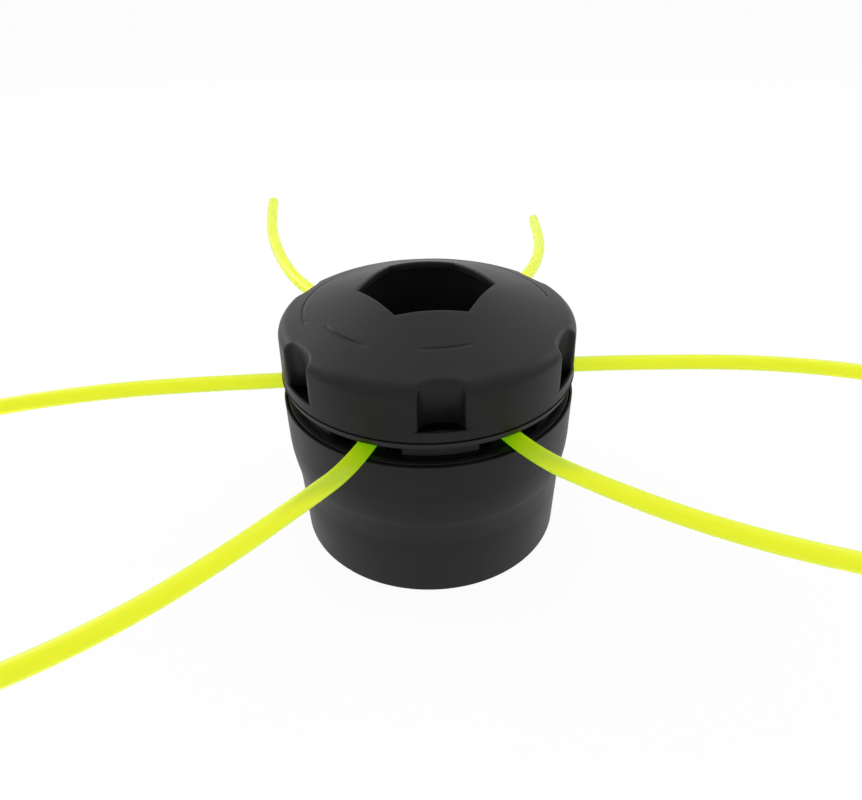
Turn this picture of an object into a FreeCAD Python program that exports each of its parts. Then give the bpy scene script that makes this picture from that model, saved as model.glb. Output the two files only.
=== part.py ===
"""Fixed line trimmer head: a moulded cup, a windowed line carrier and a domed twist cap.

Six short nylon lines lie in the carrier, held by a crimped stop on each inner end, and leave through
its windows. The cap drops into the carrier's hub with three lugs and turns to lock. A flanged nut in
the cup's boss takes the machine's M10 shaft from below, and its hexagon is reached through the cap.

Millimetres. The origin is the centre of the base, +Z points up through the cap.
"""

import FreeCAD
import Part
import math
import os

# Pattern shared by scoops, tabs and windows
COUNT = 6
PHASE_DEG = -85.8  # azimuth of the front scoop
STEP_DEG = 360.0 / COUNT

# Trimmer line
LINE_D = 4.0
LINE_CLEAR = 0.05  # round the line where it is guided

# Housing cup
HOUSING_H = 41.0
BASE_R = 34.3
LOWER_R = 34.7  # wall just below the taper
UPPER_R = 36.5  # wall just above the taper
RIM_R = 37.0
TAPER_LOW_Z = 15.0
TAPER_HIGH_Z = 22.5
HOUSING_WALL = 2.1
HOUSING_FLOOR = 3.0
LIP_T = 0.8  # thin lip outside the carrier
LIP_BEVEL = 0.3
BASE_EDGE_R = 0.7
TAPER_BLEND_R = 6.0
RIB_T = 1.8
RIB_H = 9.0

# Arbor
THREAD_HOLE_R = 4.4  # tapping size of M10 x 1.25
SHAFT_CLEAR = 0.9  # round the shaft's thread in the cup and the washer
NUT_AF = 17.0
NUT_BODY_H = 10.0
NUT_FLANGE_R = 12.0
NUT_FLANGE_T = 2.5
NUT_FIT = 0.1
BOSS_WALL = 3.4
WEB_T = 3.0  # floor between the nut and the washer
RECESS_R = 14.5
WASHER_T = 1.5
WASHER_STANDOFF = 1.5  # washer's face above the base
WASHER_FIT = 0.1

# Line carrier
CARRIER_FIT = 0.1
SILL_RISE = 0.1  # sill above the housing's lip
SILL_T = 1.2
SILL_H = 3.6
PLATE_T = 2.0
TAB_HALF_DEG = 14.4
TAB_R = 34.4
TAB_T = 3.0
TAB_FACE_H = 3.0
TAB_CHAMFER = 1.4
FLANGE_R = 35.9
FLANGE_T = 1.7
HUB_T = 4.7
HUB_H = 8.7
WELL_FIT = 0.1  # between the cap's sleeve and the hub
BLOCK_T = 2.6
BLOCK_SIDE = 2.0

# Bayonet
LOCK_TURN_DEG = 30.0
LUG_COUNT = 3
LUG_HALF_DEG = 9.0
LUG_REACH = 2.2
LUG_H = 2.2
LUG_CLEAR = 0.3
LUG_CLEAR_DEG = 1.5
ROOF_T = 1.3

# Line stops
STOP_R = 3.0
STOP_L = 4.4
STOP_GAP = 0.4  # to the hub and to the block
CRIMP_DEPTH = 0.35
CRIMP_W = 0.7
POCKET_WALL = 1.5

# Carrier screws
SCREW_COUNT = 3
SCREW_RING_R = 27.6
SCREW_SHANK_R = 1.75
SCREW_HEAD_R = 3.4
SCREW_HEAD_H = 2.4
SCREW_L = 16.0
SCREW_FIT = 0.05
SCREW_HOLE_CLEAR = 0.35
SCREW_KEY_AF = 3.0
SCREW_KEY_DEPTH = 1.4
POST_WALL = 2.0

# Cap
SEAM = 0.1
CAP_R = 36.0
CAP_SKIRT_R = 36.3
CAP_SHOULDER_H = 13.2
DOME_DEG = 19.3
SHOULDER_R = 3.6
CAP_WALL = 1.8
SKIRT_WALL = 1.4
HEX_AF = 28.6
HEX_EDGE_R = 1.0
SLEEVE_T = 2.1  # at the corners of the hexagon
SLEEVE_FOOT = 0.8  # sleeve's end below its lugs
SCOOP_R = 5.6
SCOOP_RING_R = 37.4
SCOOP_FLOOR_H = 2.7  # top of the band that is left under a scoop
SCOOP_EDGE_R = 1.5
SCOOP_WALL = 1.8
SCOOP_SKIRT_H = 2.1  # foot of the wall behind a scoop, above the cap's edge
HOLD_RING_R = 25.6
HOLD_RING_T = 1.8
HOLD_GAP = 0.35
CAP_RIB_T = 1.6
CAP_RIB_GAP = 4.0  # ribs stop this far above the cap's edge

# Heights and radii that follow
LINE_R = LINE_D / 2
SILL_TOP = HOUSING_H + SILL_RISE
SEAT_Z = SILL_TOP - SILL_H
PLATE_TOP = SEAT_Z + PLATE_T
LINE_Z = SILL_TOP + LINE_CLEAR + LINE_R
WINDOW_TOP = LINE_Z + LINE_R + LINE_CLEAR
FLANGE_TOP = WINDOW_TOP + FLANGE_T
CAP_Z = FLANGE_TOP + SEAM
SHOULDER_Z = CAP_Z + CAP_SHOULDER_H
DOME_TAN = math.tan(math.radians(DOME_DEG))
APEX_Z = SHOULDER_Z + CAP_R * DOME_TAN
REBATE_R = RIM_R - LIP_T
SILL_R = REBATE_R - CARRIER_FIT
HEX_CORNER_R = HEX_AF / 2 / math.cos(math.radians(30))
SLEEVE_R = HEX_CORNER_R + SLEEVE_T
HUB_IN_R = SLEEVE_R + WELL_FIT
HUB_R = HUB_IN_R + HUB_T
HUB_TOP = SEAT_Z + HUB_H
LUG_R = SLEEVE_R + LUG_REACH
LUG_TOP = HUB_TOP - ROOF_T - LUG_CLEAR
LUG_BOTTOM = LUG_TOP - LUG_H
SLEEVE_Z = LUG_BOTTOM - SLEEVE_FOOT
STOP_IN_R = HUB_R + STOP_GAP
STOP_OUT_R = STOP_IN_R + STOP_L
BLOCK_IN_R = STOP_OUT_R + STOP_GAP
SHAFT_HOLE_R = THREAD_HOLE_R + SHAFT_CLEAR
WASHER_TOP = WASHER_STANDOFF + WASHER_T
WEB_TOP = WASHER_TOP + WEB_T
BOSS_R = NUT_AF / 2 / math.cos(math.radians(30)) + BOSS_WALL
BOSS_TOP = WEB_TOP + NUT_BODY_H
INNER_LEDGE_R = UPPER_R - HOUSING_WALL
POST_R = SCREW_SHANK_R + POST_WALL

# Routes of the six lines: a straight radial start, then points chosen to follow the real ones
LINE_STRAIGHT_R = 41.0
LINE_ROUTES = [
    [(35.9, -47.7, 43.2), (50.8, -58.1, 43.3), (66.6, -66.3, 43.5),
     (83.0, -72.3, 43.6), (100.2, -76.0, 43.4), (116.8, -77.3, 43.0)],
    [(59.0, 2.9, 43.2), (76.8, 2.3, 43.3), (94.4, 0.4, 43.2),
     (111.4, -3.6, 42.9), (128.0, -9.6, 42.4), (143.4, -17.3, 41.8)],
    [(27.2, 51.9, 42.9), (35.7, 67.5, 42.3), (40.9, 85.0, 41.4),
     (43.9, 103.0, 40.2), (45.3, 121.2, 38.7), (46.5, 137.8, 37.1)],
    [(-33.9, 47.5, 43.4), (-43.7, 61.2, 44.2), (-51.1, 77.9, 45.3),
     (-56.8, 96.0, 46.6), (-60.3, 114.2, 47.7), (-62.3, 130.9, 48.6)],
    [(-58.4, -4.2, 43.3), (-75.8, -6.3, 43.5), (-93.0, -9.6, 43.4),
     (-110.0, -14.4, 43.1), (-126.4, -21.0, 42.6), (-142.8, -29.2, 42.0)],
    [(-26.0, -50.9, 43.2), (-37.0, -64.2, 43.3), (-49.6, -77.3, 43.4),
     (-64.2, -88.2, 43.3), (-80.6, -96.1, 43.0), (-98.0, -101.4, 42.6)],
]
ARC_SHARE = 0.45  # of the shorter run beside a bend

Z_AXIS = FreeCAD.Vector(0, 0, 1)
ORIGIN = FreeCAD.Vector(0, 0, 0)


def revolve(points, start_deg=0.0, sweep_deg=360.0):
    """Turn a closed outline of (radius, height) points about Z."""
    corners = [FreeCAD.Vector(r, 0, z) for r, z in points]
    face = Part.Face(Part.makePolygon(corners + corners[:1]))
    face.rotate(ORIGIN, Z_AXIS, start_deg)
    return face.revolve(ORIGIN, Z_AXIS, sweep_deg)


def ring(inner_r, outer_r, low_z, high_z):
    """A plain ring about Z."""
    return revolve([(inner_r, low_z), (outer_r, low_z), (outer_r, high_z), (inner_r, high_z)])


def sector(inner_r, outer_r, low_z, high_z, start_deg, end_deg):
    """The part of a ring between two azimuths."""
    points = [(inner_r, low_z), (outer_r, low_z), (outer_r, high_z), (inner_r, high_z)]
    return revolve(points, start_deg, end_deg - start_deg)


def cylinder(radius, low_z, high_z, ring_r=0.0, azimuth_deg=0.0):
    """An upright cylinder whose axis stands at ring_r from Z."""
    angle = math.radians(azimuth_deg)
    foot = FreeCAD.Vector(ring_r * math.cos(angle), ring_r * math.sin(angle), low_z)
    return Part.makeCylinder(radius, high_z - low_z, foot, Z_AXIS)


def hexagon(across_flats, low_z, high_z, flat_deg=0.0):
    """An upright hexagonal prism with one flat facing flat_deg."""
    corner_r = across_flats / 2 / math.cos(math.radians(30))
    corners = []
    for index in range(6):
        angle = math.radians(flat_deg + 30 + 60 * index)
        corners.append(FreeCAD.Vector(corner_r * math.cos(angle), corner_r * math.sin(angle), low_z))
    face = Part.Face(Part.makePolygon(corners + corners[:1]))
    return face.extrude(FreeCAD.Vector(0, 0, high_z - low_z))


def radial_bar(inner_r, outer_r, width, low_z, high_z, azimuth_deg, offset=0.0):
    """A straight bar that points away from Z, set off sideways by offset."""
    bar = Part.makeBox(outer_r - inner_r, width, high_z - low_z,
                       FreeCAD.Vector(inner_r, offset - width / 2, low_z))
    bar.rotate(ORIGIN, Z_AXIS, azimuth_deg)
    return bar


def turned(shape, azimuth_deg):
    """A copy of shape turned about Z."""
    copy = shape.copy()
    copy.rotate(ORIGIN, Z_AXIS, azimuth_deg)
    return copy


def around(shape, count, first_deg=0.0):
    """Copies of shape spread evenly about Z."""
    return [turned(shape, first_deg + 360.0 * index / count) for index in range(count)]


def ring_edges(shape, radius, height):
    """The circular edges of shape at one radius and height about Z."""
    found = []
    for edge in shape.Edges:
        box = edge.BoundBox
        flat = abs(box.ZMin - height) < 1e-4 and abs(box.ZMax - height) < 1e-4
        if flat and abs(box.XMax - radius) < 1e-3:
            found.append(edge)
    return found


def make_housing():
    """The cup: wall, floor, nut boss, screw posts and ribs."""
    cup = revolve([(0, 0), (BASE_R, 0), (LOWER_R, TAPER_LOW_Z), (UPPER_R, TAPER_HIGH_Z),
                   (RIM_R, HOUSING_H), (0, HOUSING_H)])
    cup = cup.makeFillet(BASE_EDGE_R, ring_edges(cup, BASE_R, 0))
    taper = ring_edges(cup, LOWER_R, TAPER_LOW_Z) + ring_edges(cup, UPPER_R, TAPER_HIGH_Z)
    cup = cup.makeFillet(TAPER_BLEND_R, taper)
    cup = cup.makeChamfer(LIP_BEVEL, ring_edges(cup, RIM_R, HOUSING_H))
    hollow = revolve([(0, HOUSING_FLOOR), (BASE_R - HOUSING_WALL, HOUSING_FLOOR),
                      (LOWER_R - HOUSING_WALL, TAPER_LOW_Z), (INNER_LEDGE_R, TAPER_HIGH_Z),
                      (INNER_LEDGE_R, SEAT_Z), (REBATE_R, SEAT_Z), (REBATE_R, HOUSING_H + 1),
                      (0, HOUSING_H + 1)])
    inside = [cylinder(BOSS_R, 0, BOSS_TOP),
              cylinder(RECESS_R + HOUSING_WALL, 0, WEB_TOP)]
    rib =radial_bar(0, LOWER_R - HOUSING_WALL / 2, RIB_T, 0, HOUSING_FLOOR + RIB_H, 0)
    inside += around(rib, COUNT, PHASE_DEG + STEP_DEG / 2)
    post = cylinder(POST_R, 0, SEAT_Z, SCREW_RING_R)
    web = radial_bar(SCREW_RING_R, INNER_LEDGE_R + HOUSING_WALL / 2, RIB_T, 0, SEAT_Z, 0)
    inside += around(post.fuse(web), SCREW_COUNT, PHASE_DEG)
    shell = cup.cut(hollow)
    body = shell.fuse([part.common(cup) for part in inside])
    cuts = [cylinder(RECESS_R, -1, WASHER_TOP),
            cylinder(SHAFT_HOLE_R, 0, BOSS_TOP),
            hexagon(NUT_AF + 2 * NUT_FIT, WEB_TOP, BOSS_TOP + 1, PHASE_DEG)]
    pilot = cylinder(SCREW_SHANK_R + SCREW_FIT, PLATE_TOP - SCREW_L - 1, SEAT_Z + 1, SCREW_RING_R)
    cuts += around(pilot, SCREW_COUNT, PHASE_DEG)
    return body.cut(cuts)


def make_arbor_nut():
    """The flanged nut that the machine's shaft screws into."""
    low = WEB_TOP + NUT_FIT
    nut = hexagon(NUT_AF, low, BOSS_TOP, PHASE_DEG)
    nut = nut.fuse(cylinder(NUT_FLANGE_R, BOSS_TOP, BOSS_TOP + NUT_FLANGE_T))
    edge = ring_edges(nut, NUT_FLANGE_R, BOSS_TOP + NUT_FLANGE_T)
    nut = nut.makeChamfer(NUT_FLANGE_T / 4, edge)
    nut = nut.cut(cylinder(THREAD_HOLE_R, 0, BOSS_TOP + NUT_FLANGE_T + 1))
    return nut.removeSplitter()


def make_thrust_washer():
    """The steel washer in the base that the machine's flange bears on."""
    return ring(SHAFT_HOLE_R, RECESS_R - WASHER_FIT, WASHER_STANDOFF, WASHER_TOP)


def bayonet_cuts():
    """Entry slots and locking slots of the hub, placed for lugs that rest at PHASE_DEG."""
    half = LUG_HALF_DEG + LUG_CLEAR_DEG
    inner = HUB_IN_R - 1
    outer = LUG_R + LUG_CLEAR
    low = LUG_BOTTOM - LUG_CLEAR
    entry = sector(inner, outer, low, HUB_TOP + 1, LOCK_TURN_DEG - half, LOCK_TURN_DEG + half)
    lock = sector(inner, outer, low, LUG_TOP + LUG_CLEAR, -half, LOCK_TURN_DEG + half)
    return around(entry.fuse(lock), LUG_COUNT, PHASE_DEG)


def make_carrier():
    """The windowed ring that carries the lines: floor, sill, tabs, flange, hub and line pockets."""
    tab_foot_r = TAB_R - TAB_CHAMFER
    face_z = WINDOW_TOP - TAB_FACE_H
    tab_in_r = TAB_R - TAB_T
    tab = revolve([(tab_in_r, SEAT_Z), (tab_foot_r, SEAT_Z), (tab_foot_r, face_z - TAB_CHAMFER),
                   (TAB_R, face_z), (TAB_R, FLANGE_TOP), (tab_in_r, FLANGE_TOP)],
                  -TAB_HALF_DEG, 2 * TAB_HALF_DEG)
    block_w = LINE_D + 2 * (LINE_CLEAR + BLOCK_SIDE)
    block = radial_bar(BLOCK_IN_R, BLOCK_IN_R + BLOCK_T, block_w, SEAT_Z, WINDOW_TOP, 0)
    wall_y = STOP_R + STOP_GAP + POCKET_WALL / 2
    walls = []
    for side in (-1, 1):
        walls.append(radial_bar(HUB_R - 1, BLOCK_IN_R + 1, POCKET_WALL, SEAT_Z, LINE_Z, 0, side * wall_y))
    solids = [ring(HUB_IN_R, HUB_R, SEAT_Z, HUB_TOP),
              ring(SILL_R - SILL_T, SILL_R, SEAT_Z, SILL_TOP),
              ring(tab_in_r, FLANGE_R, WINDOW_TOP, FLANGE_TOP)]
    solids += around(tab, COUNT, PHASE_DEG)
    solids += around(block.fuse(walls), COUNT, PHASE_DEG + STEP_DEG / 2)
    carrier = ring(HUB_IN_R, SILL_R, SEAT_Z, PLATE_TOP).fuse(solids)
    guide_r = LINE_R + LINE_CLEAR
    groove = Part.makeCylinder(guide_r, BLOCK_T + 1, FreeCAD.Vector(BLOCK_IN_R - 0.5, 0, LINE_Z),
                               FreeCAD.Vector(1, 0, 0))
    mouth = radial_bar(BLOCK_IN_R - 0.5, BLOCK_IN_R + BLOCK_T + 0.5, 2 * guide_r, LINE_Z, WINDOW_TOP, 0)
    cuts = around(groove.fuse(mouth), COUNT, PHASE_DEG + STEP_DEG / 2)
    hole = cylinder(SCREW_SHANK_R + SCREW_HOLE_CLEAR, SEAT_Z - 1, PLATE_TOP + 1, SCREW_RING_R)
    cuts += around(hole, SCREW_COUNT, PHASE_DEG)
    cuts += bayonet_cuts()
    return carrier.cut(cuts).removeSplitter()


def make_carrier_screw(index):
    """A pan head screw that holds the carrier down on its post."""
    top = PLATE_TOP + SCREW_HEAD_H
    shank = cylinder(SCREW_SHANK_R, PLATE_TOP - SCREW_L, PLATE_TOP, SCREW_RING_R)
    head = cylinder(SCREW_HEAD_R, PLATE_TOP, top, SCREW_RING_R)
    rim = [edge for edge in head.Edges if abs(edge.BoundBox.ZMin - top) < 1e-4]
    head = head.makeFillet(SCREW_HEAD_H / 3, rim)
    key = hexagon(SCREW_KEY_AF, top - SCREW_KEY_DEPTH, top + 1)
    key.translate(FreeCAD.Vector(SCREW_RING_R, 0, 0))
    return turned(shank.fuse(head).cut(key), PHASE_DEG + 360.0 * index / SCREW_COUNT)


def make_cap():
    """The domed twist cap with its scoops, hexagonal opening, sleeve and lugs."""
    scoop_floor = CAP_Z + SCOOP_FLOOR_H
    above = APEX_Z + 1
    outer = revolve([(0, CAP_Z), (CAP_SKIRT_R, CAP_Z), (CAP_R, SHOULDER_Z), (0, APEX_Z)])
    outer = outer.makeFillet(SHOULDER_R, ring_edges(outer, CAP_R, SHOULDER_Z))
    opening = hexagon(HEX_AF, 0, above, PHASE_DEG)
    outer = outer.cut(opening)
    outer = outer.makeFillet(HEX_EDGE_R, hex_mouth_edges(outer))
    scoops = around(cylinder(SCOOP_R, scoop_floor, above, SCOOP_RING_R), COUNT, PHASE_DEG)
    outer = outer.cut(scoops)
    outer = outer.makeFillet(SCOOP_EDGE_R, scoop_edges(outer, scoop_floor))
    drop = CAP_WALL / math.cos(math.radians(DOME_DEG))
    inner_wall_r = CAP_R - CAP_WALL
    hollow = revolve([(0, CAP_Z - 1), (CAP_SKIRT_R - SKIRT_WALL, CAP_Z - 1),
                      (CAP_SKIRT_R - SKIRT_WALL, scoop_floor), (inner_wall_r, scoop_floor + 1),
                      (inner_wall_r, APEX_Z - inner_wall_r * DOME_TAN - drop), (0, APEX_Z - drop)])
    backs = cylinder(SCOOP_R + SCOOP_WALL, CAP_Z + SCOOP_SKIRT_H, above, SCOOP_RING_R)
    kept = around(backs, COUNT, PHASE_DEG)
    kept.append(ring(HEX_CORNER_R, SLEEVE_R, CAP_Z - 1, above))
    kept.append(ring(HOLD_RING_R, HOLD_RING_R + HOLD_RING_T, CAP_Z - 1, above))
    rib = radial_bar(HEX_CORNER_R, CAP_SKIRT_R, CAP_RIB_T, CAP_Z + CAP_RIB_GAP, above, 0)
    kept += around(rib, COUNT, PHASE_DEG + STEP_DEG / 2)
    shell = outer.cut(hollow.cut(kept))
    stop_top = LINE_Z + STOP_R
    low_rings = [ring(HEX_CORNER_R - 1, SLEEVE_R, SLEEVE_Z, CAP_Z + 1),
                 ring(HOLD_RING_R, HOLD_RING_R + HOLD_RING_T, stop_top + HOLD_GAP, CAP_Z + 1)]
    lug = sector(SLEEVE_R - 1, LUG_R, LUG_BOTTOM, LUG_TOP, -LUG_HALF_DEG, LUG_HALF_DEG)
    low_rings += around(lug, LUG_COUNT, PHASE_DEG)
    cap = shell.fuse(low_rings)
    slot = cylinder(SCOOP_R, CAP_Z - 1, scoop_floor + 1, SCOOP_RING_R)
    slot = slot.common(cylinder(CAP_SKIRT_R - SKIRT_WALL, CAP_Z - 1, scoop_floor + 1))
    cuts = around(slot, COUNT, PHASE_DEG)
    cuts.append(hexagon(HEX_AF, 0, SHOULDER_Z, PHASE_DEG))
    return cap.cut(cuts).removeSplitter()


def scoop_edges(shape, floor_z):
    """The edges where the scoops break out of the cap's wall and dome."""
    found = []
    for edge in shape.Edges:
        if edge.Degenerated or edge.BoundBox.ZMin < floor_z - 1e-3:
            continue
        near = 0
        for point in edge.discretize(5):
            azimuth = math.degrees(math.atan2(point.y, point.x)) - PHASE_DEG
            azimuth = math.radians(round(azimuth / STEP_DEG) * STEP_DEG + PHASE_DEG)
            away = math.hypot(point.x - SCOOP_RING_R * math.cos(azimuth),
                              point.y - SCOOP_RING_R * math.sin(azimuth))
            near += abs(away - SCOOP_R) < 1e-2
        level = edge.BoundBox.ZMax - floor_z < 1e-3
        if near == 5 and not level:
            found.append(edge)
    return found


def hex_mouth_edges(shape):
    """The upper edges of the hexagonal opening."""
    found = []
    for edge in shape.Edges:
        middle = edge.valueAt((edge.FirstParameter + edge.LastParameter) / 2)
        if edge.BoundBox.ZLength < 2 and middle.z > SHOULDER_Z:
            found.append(edge)
    return found


def make_line_stop(index):
    """A sleeve crimped on the inner end of a line."""
    outline = [(LINE_R + LINE_CLEAR, 0), (STOP_R, 0)]
    for share in (0.3, 0.7):
        middle = share * STOP_L
        outline += [(STOP_R, middle - CRIMP_W), (STOP_R - CRIMP_DEPTH, middle - CRIMP_W / 2),
                    (STOP_R - CRIMP_DEPTH, middle + CRIMP_W / 2), (STOP_R, middle + CRIMP_W)]
    outline += [(STOP_R, STOP_L), (LINE_R + LINE_CLEAR, STOP_L)]
    sleeve = revolve(outline)
    sleeve.rotate(ORIGIN, FreeCAD.Vector(0, 1, 0), 90)
    sleeve.translate(FreeCAD.Vector(STOP_IN_R, 0, LINE_Z))
    return turned(sleeve, PHASE_DEG + STEP_DEG * (index + 0.5))


def line_path(points):
    """Straight runs joined by tangent arcs, and the smallest arc's radius."""
    corners = [FreeCAD.Vector(*point) for point in points]
    edges = []
    radii = []
    start = corners[0]
    for before, corner, after in zip(corners, corners[1:], corners[2:]):
        back = before - corner
        ahead = after - corner
        setback = ARC_SHARE * min(back.Length, ahead.Length)
        half_turn = (math.pi - back.getAngle(ahead)) / 2
        radius = setback / math.tan(half_turn)
        back.normalize()
        ahead.normalize()
        enter = corner + back * setback
        leave = corner + ahead * setback
        inward = back + ahead
        inward.normalize()
        middle = corner + inward * (radius / math.cos(half_turn) - radius)
        edges.append(Part.LineSegment(start, enter).toShape())
        edges.append(Part.Arc(enter, middle, leave).toShape())
        radii.append(radius)
        start = leave
    edges.append(Part.LineSegment(start, corners[-1]).toShape())
    return Part.Wire(edges), min(radii)


def line_points(index):
    """The whole route of one line, from its stop outwards."""
    angle = math.radians(PHASE_DEG + STEP_DEG * (index + 0.5))
    points = []
    for radius in (STOP_IN_R, LINE_STRAIGHT_R):
        points.append((radius * math.cos(angle), radius * math.sin(angle), LINE_Z))
    return points + LINE_ROUTES[index]


def make_line(points):
    """One trimmer line as a plain round tube along its route."""
    path, least_radius = line_path(points)
    start = FreeCAD.Vector(*points[0])
    heading = FreeCAD.Vector(*points[1]) - start
    section = Part.Wire(Part.makeCircle(LINE_R, start, heading))
    solid = path.makePipeShell([section], True, True)
    return solid, path.Length, least_radius


def main():
    """Build every piece and write one STEP file for each."""
    os.makedirs("parts", exist_ok=True)
    parts = {
        "housing": make_housing(),
        "arbor_nut": make_arbor_nut(),
        "thrust_washer": make_thrust_washer(),
        "carrier": make_carrier(),
        "cap": make_cap(),
    }
    for index in range(SCREW_COUNT):
        parts[f"carrier_screw_{index + 1}"] = make_carrier_screw(index)
    for index in range(COUNT):
        parts[f"line_stop_{index + 1}"] = make_line_stop(index)
        solid, length, least_radius = make_line(line_points(index))
        parts[f"line_{index + 1}"] = solid
        share = solid.Volume / (math.pi * LINE_R ** 2 * length)
        print(f"line_{index + 1}: {length:.1f} mm, least radius {least_radius:.1f} mm, volume {share:.4f}")
    for name, shape in parts.items():
        shape.exportStep(f"parts/{name}.step")
        box = shape.BoundBox
        print(f"{name}: {len(shape.Solids)} solid, valid {shape.isValid()}, {shape.Volume:.0f} mm3, "
              f"z {box.ZMin:.2f} to {box.ZMax:.2f}")


main()
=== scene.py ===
"""Looks of a fixed line trimmer head: black moulded nylon, fluorescent line and plated steel.

Metres, in the frame of the model: the origin is the centre of the cup's base and +Z points up
through the cap. The cup, the carrier and the cap are copies of the model's meshes with their outer
faces brought to the photograph's proportions. The arbor nut is modelled again with its left-hand
thread, and the six lines are smooth cords that stand for the model's plain tubes.
"""

import logging
import math
from dataclasses import dataclass, field
from enum import Enum
from typing import Any, Callable, Iterable, Sequence

import bpy
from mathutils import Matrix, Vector

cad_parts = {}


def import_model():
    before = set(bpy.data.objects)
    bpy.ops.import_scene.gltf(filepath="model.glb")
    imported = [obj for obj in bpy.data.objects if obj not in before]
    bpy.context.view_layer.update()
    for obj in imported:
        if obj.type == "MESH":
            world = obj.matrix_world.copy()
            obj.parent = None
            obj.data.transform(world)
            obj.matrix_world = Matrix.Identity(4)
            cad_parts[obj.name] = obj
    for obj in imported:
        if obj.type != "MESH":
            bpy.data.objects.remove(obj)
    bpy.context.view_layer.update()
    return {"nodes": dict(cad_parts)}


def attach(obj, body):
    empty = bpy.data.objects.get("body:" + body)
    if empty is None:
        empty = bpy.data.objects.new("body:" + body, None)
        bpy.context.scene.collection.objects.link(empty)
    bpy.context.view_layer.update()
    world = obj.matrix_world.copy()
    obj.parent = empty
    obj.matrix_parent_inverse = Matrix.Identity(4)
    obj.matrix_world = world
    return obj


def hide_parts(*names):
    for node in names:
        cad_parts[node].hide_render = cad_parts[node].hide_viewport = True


LOG = logging.getLogger("trimmer_head")
MM = 0.001
PHASE = math.radians(-85.8)  # azimuth of the front scoop
SIXTHS = 6  # scoops, windows, and sides of the opening and the nut
SIXTH = math.radians(60)
SLACK = 0.05 * MM  # how far a point may lie from a face that it counts as part of
MERGE = 0.001 * MM  # loose corners nearer than this are one
ROUNDING_SAMPLES = 6
BEVEL_SEGMENTS = 2

Colour = tuple[float, float, float]
Point = tuple[float, float, float]
Stops = tuple[tuple[float, float], ...]


class Slot(Enum):
    """Names of the record's material slots; the pieces made here are painted with materials of other
    names.
    """

    LINE = "line_yellow"
    NYLON = "nylon_black"
    STEEL = "steel"


class Cut(Enum):
    """What a boolean does with its tool."""

    ADD = "UNION"
    TAKE = "DIFFERENCE"


@dataclass(frozen=True)
class Noise:
    """Size and character of one noise texture."""

    size: float  # width of a cell in the units of its coordinates
    detail: float  # octaves
    roughness: float  # weight of the finer octaves


class Wire:
    """A node's output socket that can be used in sums and products."""

    def __init__(self, recipe: "Recipe", socket: bpy.types.NodeSocket) -> None:
        """Keep the socket and the recipe that its node belongs to."""
        self.recipe = recipe
        self.socket = socket

    def _math(self, operation: str, first: Any, second: Any) -> "Wire":
        """Add one Math node that works on two numbers or wires."""
        return self.recipe.node("ShaderNodeMath", {"operation": operation}, {0: first, 1: second})

    def __add__(self, other: Any) -> "Wire":
        """Sum of this and other."""
        return self._math("ADD", self, other)

    def __radd__(self, other: Any) -> "Wire":
        """Sum of other and this."""
        return self._math("ADD", other, self)

    def __sub__(self, other: Any) -> "Wire":
        """This less other."""
        return self._math("SUBTRACT", self, other)

    def __rsub__(self, other: Any) -> "Wire":
        """Other less this."""
        return self._math("SUBTRACT", other, self)

    def __mul__(self, other: Any) -> "Wire":
        """Product of this and other."""
        return self._math("MULTIPLY", self, other)

    def __rmul__(self, other: Any) -> "Wire":
        """Product of other and this."""
        return self._math("MULTIPLY", other, self)

    def __truediv__(self, other: Any) -> "Wire":
        """Quotient of this and other."""
        return self._math("DIVIDE", self, other)

    def least(self, other: Any) -> "Wire":
        """The smaller of this and other."""
        return self._math("MINIMUM", self, other)

    def most(self, other: Any) -> "Wire":
        """The larger of this and other."""
        return self._math("MAXIMUM", self, other)


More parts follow.
